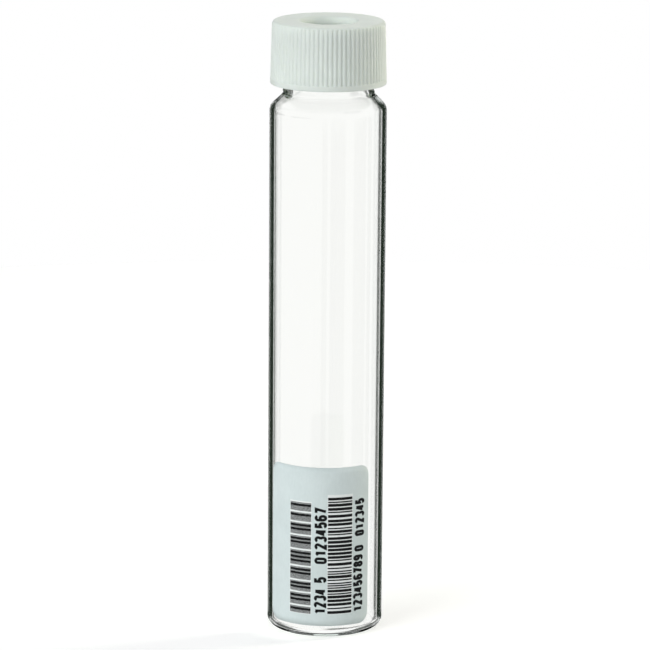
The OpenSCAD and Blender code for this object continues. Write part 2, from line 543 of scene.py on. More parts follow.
@dataclass(frozen=True)
class Thread:
    """Right-hand screw thread, shared by the glass and the cap.

    Attributes:
        pitch: Rise of one turn.
        turns: Length of the thread in turns.
        fade: Angle over which it fades at its ends, in degrees.
        root: How far its flanks run on below the surface.
    """

    pitch: float = 3.175
    turns: float = 1.2
    fade: float = 45.0
    root: float = 0.3

    def ridge(self, theta: Array, height: Array, foot: float, section: Callable[[Array], Array]) -> Array:
        """Height of the thread above the surface that carries it.

        Args:
            theta: Angle of each point, in radians.
            height: Height of each point.
            foot: Height of the lower end of the thread.
            section: Height of the full thread above its root, by distance along the axis.

        Returns:
            Height above the surface, 0 where there is no thread.
        """
        ridge = np.zeros_like(height)
        full = 360.0 * self.turns
        for turn in range(math.ceil(self.turns)):
            angle = np.degrees(theta) % 360.0 + 360.0 * turn
            grow = smooth_step(0.0, self.fade, np.minimum(angle, full - angle))
            above = section(height - foot - self.pitch * angle / 360.0) * grow - self.root
            ridge = np.maximum(ridge, np.where(angle <= full, above, 0.0))
        return ridge


@dataclass
class GlassVial:
    """Drawn glass vial: foot, body, shoulder, threaded neck and sealing rim in one piece.

    Attributes:
        body_r: Outside radius of the body.
        height: Height of the glass.
        thread: Screw thread of the neck.
        ripple: Height of the slight waves that forming leaves in the shoulder and the bore.
        waves: Share, count round the axis, phase and climb of each wave.
        calm: How far below the rim the waves are full, and over which length and how far below the neck they start.
    """

    body_r: float
    height: float
    thread: Thread
    wall_t: float = 1.1
    floor_t: float = 1.0
    heel_r: float = 2.0
    floor_r: float = 1.4
    foot_w: float = 1.8
    pushup_h: float = 0.6
    neck_step: float = 3.1
    neck_t: float = 1.4
    neck_length: float = 12.0
    slope: float = 42.0
    shoulder_t: float = 1.1
    shoulder_r: float = 2.6
    neck_fillet_r: float = 1.2
    inner_shoulder_r: float = 1.7
    inner_neck_r: float = 2.5
    rim_r: float = 0.7
    bead_h: float = 1.2
    bead_w: float = 2.4
    thread_start: float = 2.6
    ripple: float = 0.12
    waves: tuple[tuple[float, int, float, float], ...] = (
        (1.0, 3, 0.7, 0.25),
        (0.7, 5, 2.1, -0.4),
        (0.5, 9, 4.0, 0.6),
    )
    calm: Triple = (3.0, 2.0, 3.5)
    segments: int = 448

    def neck_r(self) -> float:
        """Returns the radius of the neck at the root of its thread."""
        return self.body_r - self.neck_step

    def thread_z(self) -> float:
        """Returns the height of the thread's lower end."""
        return self.height - self.thread_start - self.thread.pitch * self.thread.turns

    def profile(self) -> Profile:
        """Returns the outline: up the outside from the axis, over the rim and down the inside."""
        slope = math.radians(self.slope)
        sine, cosine = math.sin(slope), math.cos(slope)
        neck_r, bore_r = self.neck_r(), self.neck_r() - self.neck_t
        inner_r, foot_r = self.body_r - self.wall_t, self.body_r - self.heel_r
        bends = self.shoulder_r + self.neck_fillet_r
        inner_bends = self.inner_shoulder_r + self.inner_neck_r
        neck_z = self.height - self.neck_length
        shoulder_z = neck_z - (self.neck_step - bends * (1 - sine)) / cosine * sine - bends * cosine
        lean = sine * ((self.body_r - self.shoulder_r) - (inner_r - self.inner_shoulder_r))
        inner_z = shoulder_z + (lean + self.shoulder_r - self.inner_shoulder_r - self.shoulder_t) / cosine
        bore_z = inner_z + (inner_r - bore_r - inner_bends * (1 - sine)) / cosine * sine + inner_bends * cosine
        rim_z = self.height - self.rim_r
        turn = 90 - self.slope
        wavy = Zone.WAVY
        outline = Profile()
        outline.dome(foot_r - self.foot_w, self.pushup_h, 0.0)
        outline.line((foot_r, 0.0), 3)
        outline.arc((foot_r, self.heel_r), self.heel_r, -90, 0, 12)
        outline.line((self.body_r, shoulder_z), 3)
        outline.arc((self.body_r - self.shoulder_r, shoulder_z), self.shoulder_r, 0, turn, 12, wavy)
        outline.line((neck_r + self.neck_fillet_r * (1 - sine), neck_z - self.neck_fillet_r * cosine), 5, wavy)
        outline.arc((neck_r + self.neck_fillet_r, neck_z), self.neck_fillet_r, 180 + turn, 180, 10, wavy)
        outline.line((neck_r, rim_z), 66, Zone.THREAD)
        outline.arc((neck_r - self.rim_r, rim_z), self.rim_r, 0, 90, 8)
        outline.arc((bore_r + self.rim_r, rim_z), self.rim_r, 90, 180, 8)
        outline.line((bore_r, bore_z), 14, wavy)
        outline.arc((bore_r + self.inner_neck_r, bore_z), self.inner_neck_r, 180, 180 + turn, 10, wavy)
        bend_r = self.inner_shoulder_r
        outline.line((inner_r - bend_r * (1 - sine), inner_z + bend_r * cosine), 5, wavy)
        outline.arc((inner_r - bend_r, inner_z), bend_r, turn, 0, 12, wavy)
        outline.line((inner_r, self.floor_t + self.floor_r), 3)
        outline.arc((inner_r - self.floor_r, self.floor_t + self.floor_r), self.floor_r, 0, -90, 12)
        outline.dome(inner_r - self.floor_r, self.pushup_h, self.floor_t, inward=True)
        return outline

    def relief(self, theta: Array, radius: Array, height: Array, zones: Array) -> Array:
        """Bead of the thread on the neck, and the waves in the shoulder and the bore.

        Args:
            theta: Angle of each point, in radians.
            radius: Radius of each point, not used.
            height: Height of each point.
            zones: Zone of each point.

        Returns:
            Shift of the radius.
        """
        rise = self.bead_h + self.thread.root
        half_w = self.bead_w / 2 / math.sqrt(self.bead_h / rise)
        bead = self.thread.ridge(theta, height, self.thread_z(),
                                 lambda z: np.maximum(rise * (1 - (z / half_w) ** 2), 0.0))
        waves = np.zeros_like(height)
        for share, count, phase, climb in self.waves:
            waves = waves + share * np.sin(count * theta + phase + climb * height)
        below_rim, fade, reach = self.calm
        low = self.height - self.neck_length - reach
        waves = waves * smooth_step(0.0, below_rim, self.height - self.rim_r - height)
        waves = waves * smooth_step(low, low + fade, height) * self.ripple
        return np.where(zones == Zone.THREAD.value, bead, 0.0) + np.where(zones == Zone.WAVY.value, waves, 0.0)

    def build(self, finish: ClearGlass) -> list[Piece]:
        """Makes the glass.

        Args:
            finish: Finish of the glass.

        Returns:
            The new piece.
        """
        glass = Lathe(self.profile(), self.segments).build("glass_body", self.relief)
        glass.data.materials.append(finish.build())
        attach(glass, Body.VIAL.value)
        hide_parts("glass_vial")
        return [glass]


@dataclass
class ScrewCap:
    """Moulded open-top cap: a holed panel, a drafted side with grip ribs, and a threaded skirt.

    Attributes:
        foot_z: Height of the skirt's foot.
        top_z: Height of the top.
        foot_r: Outside radius at the foot.
        hole_r: Radius of the hole.
        skirt_r: Inside radius of the skirt.
        thread: Screw thread of the skirt.
        thread_z: Height of the thread's lower end.
        band_h: Height of the plain band below the ribs.
        run_in: How far below and above that height the grooves run in.
    """

    foot_z: float
    top_z: float
    foot_r: float
    hole_r: float
    skirt_r: float
    thread: Thread
    thread_z: float
    panel_t: float = 2.0
    draft: float = 1.5
    top_edge_r: float = 0.9
    hole_edge_r: float = 0.85
    foot_edge_r: float = 0.25
    skirt_lead: float = 0.5
    thread_h: float = 1.0
    thread_w: float = 1.5
    crest_w: float = 0.5
    ribs: int = 78
    groove_w: float = 0.62
    groove_depth: float = 0.23
    band_h: float = 1.25
    run_in: Point = (0.06, 0.3)
    steps_per_rib: int = 10

    def crest(self, height: Union[float, Array]) -> Union[float, Array]:
        """Returns the radius of the ribs' crests at a height."""
        return self.foot_r - (height - self.foot_z - self.foot_edge_r) * math.tan(math.radians(self.draft))

    def rib_span(self) -> Point:
        """Returns the heights between which the grooves run in."""
        return self.foot_z + self.band_h - self.run_in[0], self.foot_z + self.band_h + self.run_in[1]

    def profile(self) -> Profile:
        """Returns the outline: up the outside, over the panel into the hole, and down the inside."""
        top_edge_z = self.top_z - self.top_edge_r
        panel_z = self.top_z - self.panel_t
        top_r = self.crest(top_edge_z)
        rib_low, rib_high = self.rib_span()
        ribs = Zone.RIBS
        outline = Profile()
        outline.add((self.skirt_r + self.skirt_lead, self.foot_z))
        outline.arc((self.foot_r - self.foot_edge_r, self.foot_z + self.foot_edge_r), self.foot_edge_r, -90, 0, 6)
        outline.line((self.crest(rib_low), rib_low), 3)
        outline.line((self.crest(rib_high), rib_high), 5, ribs)
        outline.line((top_r, top_edge_z), 8, ribs)
        outline.arc((top_r - self.top_edge_r, top_edge_z), self.top_edge_r, 0, 90, 12, ribs)
        outline.line((self.hole_r + self.hole_edge_r, self.top_z), 4)
        outline.arc((self.hole_r + self.hole_edge_r, self.top_z - self.hole_edge_r), self.hole_edge_r, 90, 180, 8)
        outline.line((self.hole_r, panel_z), 3)
        outline.line((self.skirt_r, panel_z), 4)
        outline.line((self.skirt_r, self.foot_z + self.skirt_lead), 62, Zone.THREAD)
        return outline

    def relief(self, theta: Array, radius: Array, height: Array, zones: Array) -> Array:
        """Grooves between the ribs outside, and the thread inside.

        Args:
            theta: Angle of each point, in radians.
            radius: Radius of each point.
            height: Height of each point.
            zones: Zone of each point.

        Returns:
            Shift of the radius.
        """
        groove_r = ((self.groove_w / 2) ** 2 + self.groove_depth ** 2) / (2 * self.groove_depth)
        across = (theta * self.ribs / (2 * math.pi)) % 1.0 - 0.5
        offset = across * 2 * math.pi * radius / self.ribs
        depth = np.sqrt(np.maximum(groove_r ** 2 - offset ** 2, 0.0)) - (groove_r - self.groove_depth)
        run_in = smooth_step(*self.rib_span(), height)
        cut = np.minimum(radius, self.crest(height) - np.maximum(depth, 0.0) * run_in) - radius
        slope = (self.thread_w - self.crest_w) / 2 / self.thread_h

        def tooth(z: Array) -> Array:
            """Returns the height of the full thread above its root, at a distance along the axis."""
            flank = self.thread_h + self.thread.root - np.maximum(np.abs(z) - self.crest_w / 2, 0.0) / slope
            return np.maximum(flank, 0.0)

        ridge = self.thread.ridge(theta, height, self.thread_z, tooth)
        return np.where(zones == Zone.RIBS.value, cut, 0.0) - np.where(zones == Zone.THREAD.value, ridge, 0.0)

    def build(self, finish: MouldedPlastic) -> list[Piece]:
        """Makes the cap.

        Args:
            finish: Finish of the plastic.

        Returns:
            The new piece.
        """
        cap = Lathe(self.profile(), self.ribs * self.steps_per_rib, ring=True).build("ribbed_cap", self.relief)
        cap.data.materials.append(finish.build())
        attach(cap, Body.CAP.value)
        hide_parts("screw_cap")
        return [cap]


@dataclass
class Septum:
    """Disc under the cap, pressed up a little into the hole.

    Attributes:
        radius: Radius of the disc.
        low_z: Height of its lower face.
        top_z: Height of its upper face.
        bulge_r: Radius of the part that is pressed up.
    """

    radius: float
    low_z: float
    top_z: float
    bulge_r: float
    bulge: float = 0.12
    edge_r: float = 0.15
    film_t: float = 0.15
    segments: int = 160

    def profile(self) -> Profile:
        """Returns the outline, from the lower face round the edge to the bulge."""
        outline = Profile()
        outline.add((0.0, self.low_z))
        outline.line((self.radius - self.edge_r, self.low_z), 6)
        outline.arc((self.radius - self.edge_r, self.low_z + self.edge_r), self.edge_r, -90, 0, 5)
        outline.line((self.radius, self.top_z - self.edge_r), 2)
        outline.arc((self.radius - self.edge_r, self.top_z - self.edge_r), self.edge_r, 0, 90, 5)
        outline.line((self.bulge_r, self.top_z), 4)
        outline.dome(self.bulge_r, self.bulge, self.top_z, inward=True)
        return outline

    def build(self) -> list[Piece]:
        """Returns the new piece."""
        disc = Lathe(self.profile(), self.segments).build("septum_disc")
        disc.data.materials.append(SeptumRubber((self.low_z + self.film_t) * MM).build())
        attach(disc, Body.SEPTUM.value)
        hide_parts("septum")
        return [disc]


# Blocks: heights of each kind of bar and its gap, then how many fine bars, groups and bars of a group there can be
FINE_BAR = (0.066, 0.034)
BOLD_BAR = (0.64, 0.05)
WHITE_GAP = (0.0, 0.42)
FINE_RUN = (7, 13)
GROUPS = (1, 4)
GROUP_RUN = (2, 4)

# Lines: heights that a bar and its gap can have
LINE_BARS = (0.34, 0.66, 0.7)
LINE_GAPS = (0.22, 0.24, 0.28, 0.46)


class BarStyle(Enum):
    """Rhythms of a field of bars."""

    BLOCKS = "blocks"
    LINES = "lines"

    def rhythm(self, random: np.random.Generator) -> list[Point]:
        """Next few bars, each with the gap that follows it.

        Args:
            random: Seeded source of the pattern.

        Returns:
            Heights of each bar and its gap.
        """
        if self is BarStyle.LINES:
            return [(float(random.choice(LINE_BARS)), float(random.choice(LINE_GAPS)))]
        bars = [FINE_BAR] * int(random.integers(*FINE_RUN))
        for _ in range(int(random.integers(*GROUPS))):
            bars += [BOLD_BAR] + [FINE_BAR] * int(random.integers(*GROUP_RUN))
        return bars + [WHITE_GAP]

    def run(self, low: float, high: float, random: np.random.Generator) -> list[Point]:
        """Bars from one height to another.

        Args:
            low: Where the field starts.
            high: Where it ends.
            random: Seeded source of the pattern.

        Returns:
            Lower and upper edge of each bar.
        """
        bars: list[Point] = []
        at = low
        while at < high:
            for bar, gap in self.rhythm(random):
                if bar > 0 and at + bar <= high:
                    bars.append((at, at + bar))
                at += bar + gap
        return bars


@dataclass(frozen=True)
class DigitStrokes:
    """Plain narrow digits, drawn as strokes of one width.

    Attributes:
        width: Width of the strokes' middle lines.
        height: Height of the strokes' middle lines.
        stroke: Width of the strokes.
        step: Longest straight piece of a stroke.
    """

    width: float
    height: float
    stroke: float
    step: float = 0.25

    def bow(self, middle: float, half: float, start: float, end: float, share: float = 1.0) -> list[Point]:
        """Part of an ellipse.

        Args:
            middle: Height of its middle.
            half: Half of its height.
            start: Angle at which it starts, in degrees.
            end: Angle at which it ends.
            share: Share of the digit's width that it takes.

        Returns:
            Its points.
        """
        r = self.width / 2
        angles = np.radians(np.linspace(start, end, max(3, round(abs(end - start) / 15) + 1)))
        return [(r + r * share * math.cos(a), middle + half * math.sin(a)) for a in angles]

    def paths(self, digit: str) -> list[list[Point]]:
        """Middle lines of a digit's strokes.

        Args:
            digit: Digit to draw.

        Returns:
            One list of points for each stroke.
        """
        w, h, r = self.width, self.height, self.width / 2
        bow = self.bow
        six = [bow(0.29 * h, 0.29 * h, 180, 540), [(0.0, 0.29 * h)] + bow(h - r, r, 180, 20)]
        return {
            "0": [bow(h - r, r, 180, 0) + bow(r, r, 0, -180) + [(0.0, h - r)]],
            "1": [[(0.65 * w, h), (0.65 * w, 0.0)], [(0.65 * w, 0.96 * h), (0.12 * w, 0.76 * h)]],
            "2": [bow(h - r, r, 165, -30) + [(0.02 * w, 0.0), (w, 0.0)]],
            "3": [bow(0.75 * h, 0.25 * h, 155, -85), bow(0.26 * h, 0.26 * h, 85, -155)],
            "4": [[(0.6 * w, h), (0.0, 0.28 * h), (w, 0.28 * h)], [(0.72 * w, h), (0.72 * w, 0.0)]],
            "5": [[(0.95 * w, h), (0.1 * w, h), (0.04 * w, 0.5 * h)] + bow(0.31 * h, 0.31 * h, 135, -155)],
            "6": six,
            "7": [[(0.0, h), (w, h), (0.35 * w, 0.0)]],
            "8": [bow(0.76 * h, 0.24 * h, -90, 270, 0.92), bow(0.26 * h, 0.26 * h, -90, 270)],
            "9": [[(w - x, h - y) for x, y in path] for path in six],
        }[digit]

    def ribbon(self, path: list[Point]) -> list[tuple[Point, Point]]:
        """Both edges of a stroke.

        Args:
            path: Its middle line.

        Returns:
            Pairs of points on its left and right edge.
        """
        points = [np.array(path[0])]
        for a, b in zip(path, path[1:]):
            count = max(1, math.ceil(math.dist(a, b) / self.step))
            points += [np.array(a) + (np.array(b) - np.array(a)) * i / count for i in range(1, count + 1)]
        ways = [(b - a) / np.linalg.norm(b - a) for a, b in zip(points, points[1:])]
        closed = np.allclose(points[0], points[-1])
        pairs = []
        for i, point in enumerate(points):
            before = ways[i - 1] if i > 0 or closed else ways[0]
            after = ways[i % len(ways)] if i < len(ways) or closed else ways[-1]
            mean = (before + after) / max(1e-6, np.linalg.norm(before + after))
            reach = self.stroke / 2 / max(0.6, float(mean @ after))
            side = np.array((-mean[1], mean[0])) * reach
            pairs.append((tuple(point + side), tuple(point - side)))
        return pairs


@dataclass(frozen=True)
class PrintBox:
    """Place of a printed shape on the label.

    Attributes:
        left: Arc of its left edge from the label's middle, + to the right.
        right: Arc of its right edge.
        low: Height of its lower end above the label's lower edge.
        high: Height of its upper end.
    """

    left: float
    right: float
    low: float
    high: float

    def grown(self, by: float) -> "PrintBox":
        """Returns the box with a margin round it."""
        return PrintBox(self.left - by, self.right + by, self.low - by, self.high + by)


@dataclass
class PaperLabel:
    """Paper label on the glass, with a generic print of bars and plain numbers that runs up it.

    Attributes:
        body_r: Outside radius of the glass.
        low_z: Height of its lower edge.
        height: Height of the label.
        bar_fields: Side, place, rhythm and seed of each field of bars.
        number_lines: Name, digits and place of each line of numbers, whose heads point left.
    """

    body_r: float
    low_z: float
    height: float
    width: float = 26.5
    turn: float = -8.0
    corner_r: float = 2.6
    thickness: float = 0.12
    sunk: float = 0.03
    ink_t: float = 0.012
    step: float = 0.3
    stroke: float = 0.67
    digit_gap: float = 0.13
    margin: float = 0.12
    bar_fields: tuple[tuple[str, PrintBox, BarStyle, int], ...] = (
        ("left", PrintBox(-6.75, -1.38, 2.9, 30.3), BarStyle.BLOCKS, 11),
        ("right", PrintBox(2.6, 8.5, 3.0, 32.1), BarStyle.LINES, 5),
    )
    number_lines: tuple[tuple[str, str, PrintBox], ...] = (
        ("left_low", "1234", PrintBox(-0.6, 2.35, 2.9, 9.2)),
        ("left_mid", "5", PrintBox(-0.6, 2.35, 10.6, 12.15)),
        ("left_high", "01234567", PrintBox(-0.55, 2.4, 15.3, 29.1)),
        ("right_low", "123456789", PrintBox(8.9, 11.6, 2.9, 17.0)),
        ("right_mid", "0", PrintBox(9.15, 11.8, 17.8, 19.3)),
        ("right_high", "012345", PrintBox(9.25, 11.95, 21.6, 30.8)),
    )

    def place(self, u: float, v: float, lift: float) -> Place:
        """Point over the glass.

        Args:
            u: Arc from the label's middle.
            v: Height above its lower edge.
            lift: Height above the glass.

        Returns:
            The point, in metres.
        """
        angle = math.radians(self.turn) + u / self.body_r
        r = self.body_r + lift
        return r * math.sin(angle) * MM, -r * math.cos(angle) * MM, (self.low_z + v) * MM

    def shell(self, columns: Sequence[float], edges: Callable[[float], Point], low: float, high: float,
              rows: int = 1) -> MeshParts:
        """Closed thin shell that follows the glass.

        Args:
            columns: Arcs of its columns.
            edges: Gives the lower and upper height of a column.
            low: Height of its underside above the glass.
            high: Height of its face above the glass.
            rows: Steps up each column.

        Returns:
            Its mesh.
        """
        count = rows + 1
        places = []
        for lift in (high, low):
            for u in columns:
                start, end = edges(u)
                places += [self.place(u, start + (end - start) * i / rows, lift) for i in range(count)]
        back = len(columns) * count
        last = len(columns) - 1
        faces = []
        for c in range(last):
            for i in range(rows):
                a, b = c * count + i, (c + 1) * count + i
                faces.append([a, b, b + 1, a + 1])
                faces.append([back + a, back + a + 1, back + b + 1, back + b])
            for a, b in ((c * count, (c + 1) * count), ((c + 1) * count + rows, c * count + rows)):
                faces.append([a, back + a, back + b, b])
        for i in range(rows):
            a, b = i, last * count + i
            faces.append([a, a + 1, back + a + 1, back + a])
            faces.append([b, back + b, back + b + 1, b + 1])
        return MeshParts(places, faces)

    def edges(self, u: float) -> Point:
        """Lower and upper height of the label at an arc from its middle.

        Args:
            u: Arc from the middle.

        Returns:
            Heights above the lower edge.
        """
        past = max(0.0, abs(u) - (self.width / 2 - self.corner_r))
        inset = self.corner_r - math.sqrt(max(0.0, self.corner_r ** 2 - past ** 2))
        return inset, self.height - inset

    def sheet(self, finish: LabelPaper) -> Piece:
        """Makes the paper.

        Args:
            finish: Finish of the paper.

        Returns:
            The new piece.
        """
        inner = self.width / 2 - self.corner_r
        corner = [inner + self.corner_r * math.sin(math.radians(a)) for a in range(0, 91, 6)]
        middle = list(np.linspace(-inner, inner, 61))[1:-1]
        columns = [-u for u in reversed(corner)] + middle + corner
        paper = self.shell(columns, self.edges, -self.sunk, self.thickness, 24).build("paper_label")
        paper.data.materials.append(finish.build())
        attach(paper, Body.VIAL.value)
        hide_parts("label")
        return paper

    def plate(self, box: PrintBox, lift: float) -> MeshParts:
        """Returns a plate of print that is rooted in the paper and stands up from it by a lift."""
        columns = np.linspace(box.left, box.right, max(3, round((box.right - box.left) / self.step)))
        return self.shell(columns, lambda u: (box.low, box.high), self.thickness - self.ink_t, self.thickness + lift)

    def bars(self, box: PrintBox, style: BarStyle, seed: int) -> MeshParts:
        """Generic bars, which mean nothing.

        Args:
            box: Place of the field.
            style: Rhythm of the bars.
            seed: Seed of the pattern.

        Returns:
            Their mesh.
        """
        mesh = MeshParts()
        for start, end in style.run(box.low, box.high, np.random.default_rng(seed)):
            mesh.join(self.plate(PrintBox(box.left, box.right, start, end), self.ink_t))
        return mesh

    def numbers(self, text: str, box: PrintBox) -> MeshParts:
        """Line of plain numbers that runs up the label.

        Args:
            text: Digits to set.
            box: Place of the line.

        Returns:
            Its mesh.
        """
        pitch = (box.high - box.low + self.digit_gap) / len(text)
        digits = DigitStrokes(pitch - self.digit_gap - self.stroke, box.right - box.left - self.stroke, self.stroke)
        lifts = (self.thickness + self.ink_t, self.thickness - self.ink_t)
        mesh = MeshParts()
        for n, digit in enumerate(text):
            start = box.low + n * pitch + self.stroke / 2
            for path in digits.paths(digit):
                pairs = digits.ribbon(path)
                places = [self.place(box.right - self.stroke / 2 - y, start + x, lift)
                          for pair in pairs for lift in lifts for x, y in pair]
                end = 4 * (len(pairs) - 1)
                faces = [[0, 2, 3, 1], [end, end + 1, end + 3, end + 2]]
                for a in range(0, end, 4):
                    b = a + 4
                    faces += [[a, a + 1, b + 1, b], [a + 2, b + 2, b + 3, a + 3],
                              [a, b, b + 2, a + 2], [a + 1, a + 3, b + 3, b + 1]]
                mesh.join(MeshParts(places, faces))
        return mesh

    @staticmethod
    def printed(name: str, mesh: MeshParts, material: Material) -> Piece:
        """Makes a piece of the print, which rides with the label.

        Args:
            name: Name of the piece.
            mesh: Its mesh.
            material: Its material.

        Returns:
            The new piece.
        """
        piece = mesh.build(name, smooth=False)
        piece.data.materials.append(material)
        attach(piece, Body.VIAL.value)
        return piece

    def build(self, finish: LabelPaper) -> list[Piece]:
        """Makes the label, and its print with white fields under the bars.

        Args:
            finish: Finish of the paper.

        Returns:
            The new pieces.
        """
        pieces = [self.sheet(finish)]
        white = LabelPaper("white_field", (0.86, 0.9, 0.895), (0.82, 0.86, 0.855)).build()
        ink = PrintInk().build()
        for side, box, style, seed in self.bar_fields:
            ground = self.plate(box.grown(self.margin), self.ink_t / 3)
            pieces.append(self.printed("field_" + side, ground, white))
            pieces.append(self.printed("bars_" + side, self.bars(box, style, seed), ink))
        for name, text, box in self.number_lines:
            pieces.append(self.printed("numbers_" + name, self.numbers(text, box), ink))
        return pieces


@dataclass(frozen=True)
class Lamp:
    """Soft lamp of the studio.

    Attributes:
        name: Name of the lamp.
        place: Where it stands, in metres.
        size: Width and height of its face, in metres.
        power: Power, in watts.
        colour: Colour of its light.
    """

    name: str
    place: Place
    size: Point
    power: float
    colour: Colour = (1.0, 1.0, 1.0)

    def build(self, aim: Vector) -> Piece:
        """Makes the lamp.

        Args:
            aim: Point that it faces, in metres.

        Returns:
            The lamp.
        """
        light = bpy.data.lights.new(self.name, "AREA")
        light.shape = "RECTANGLE"
        light.size, light.size_y = self.size
        light.energy = self.power
        light.color = self.colour
        lamp = bpy.data.objects.new(self.name, light)
        lamp.location = self.place
        lamp.rotation_euler = (aim - Vector(self.place)).to_track_quat("-Z", "Y").to_euler()
        lamp.visible_glossy = False
        lamp.visible_transmission = False
        bpy.context.scene.collection.objects.link(lamp)
        return lamp


@dataclass(frozen=True)
class EdgeCards:
    """Pair of dark cards behind the vial, which only glass shows: they draw its edges for one way of looking.

    Each card has an upright slit, which draws the light line between the two dark lines of a glass wall.

    Attributes:
        way: Direction of looking round the vertical, in degrees from +X.
        low: Lowest slope of the rays that see them, in degrees.
        high: Highest slope of those rays.
        left: Angles from the way of looking at which the left card and its slit start and its slit ends.
        right: The same three angles of the right card.
        rim: Angles at which the left and right card start for light that kept to one wall, which darkens the outline.
        end: Angle at which both cards end.
        depth: How much light they take away.
        soft: Softness of their edges, in degrees.
        wall_only: Whether only light that kept to one wall shows them, and no reflection.
    """

    way: float
    low: float
    high: float
    left: Triple = (17.0, 41.0, 45.6)
    right: Triple = (14.0, 39.3, 45.2)
    rim: Point = (10.8, 8.0)
    end: float = 56.0
    depth: float = 0.995
    soft: float = 0.8
    wall_only: bool = False

    def strip(self, graph: NodeGraph, flat: Socket, start: float, end: float) -> Socket:
        """Upright strip of a card.

        Args:
            graph: Graph of the world.
            flat: Level part of the direction, of length 1.
            start: Angle at which the strip starts from the way of looking, negative to the right.
            end: Angle at which it ends.

        Returns:
            1 inside the strip, 0 outside.
        """
        middle = math.radians(self.way + (start + end) / 2)
        half = abs(end - start) / 2
        ways = {0: flat, 1: (math.cos(middle), math.sin(middle), 0.0)}
        near = graph.out("VectorMath", ways, "Value", operation="DOT_PRODUCT")
        return graph.step(near, math.cos(math.radians(half + self.soft)), math.cos(math.radians(half - self.soft)))

    def shade(self, graph: NodeGraph, flat: Socket, rise: Socket, through: Socket, across: Socket) -> Socket:
        """Shade of both cards by direction.

        Args:
            graph: Graph of the world.
            flat: Level part of the direction, of length 1.
            rise: Sine of the direction's slope.
            through: 1 for light that came through glass, which shows the slits, 0 for a reflection.
            across: 1 for light that came across the inside of the vial, 0 for light that kept to one wall.

        Returns:
            How much light they take away.
        """
        shade: object = 0.0
        for (start, opening, closing), rim_start, sign in zip((self.left, self.right), self.rim, (1.0, -1.0)):
            card = self.strip(graph, flat, sign * start, sign * self.end)
            slit = self.strip(graph, flat, sign * opening, sign * closing)
            rim = self.strip(graph, flat, sign * rim_start, sign * (start + self.soft))
            shade = graph.math("MAXIMUM", shade, graph.math("SUBTRACT", card, graph.math("MULTIPLY", slit, through)))
            shade = graph.math("MAXIMUM", shade, graph.math("SUBTRACT", rim, across))
        if self.wall_only:
            shade = graph.math("MULTIPLY", shade, graph.math("SUBTRACT", through, across))
        shade = graph.math("MULTIPLY", shade, self.depth)
        for edge, soft in ((self.low, self.soft), (self.high, -self.soft)):
            ends = (math.sin(math.radians(edge - soft)), math.sin(math.radians(edge + soft)))
            shade = graph.math("MULTIPLY", shade, graph.step(rise, *ends))
        return shade


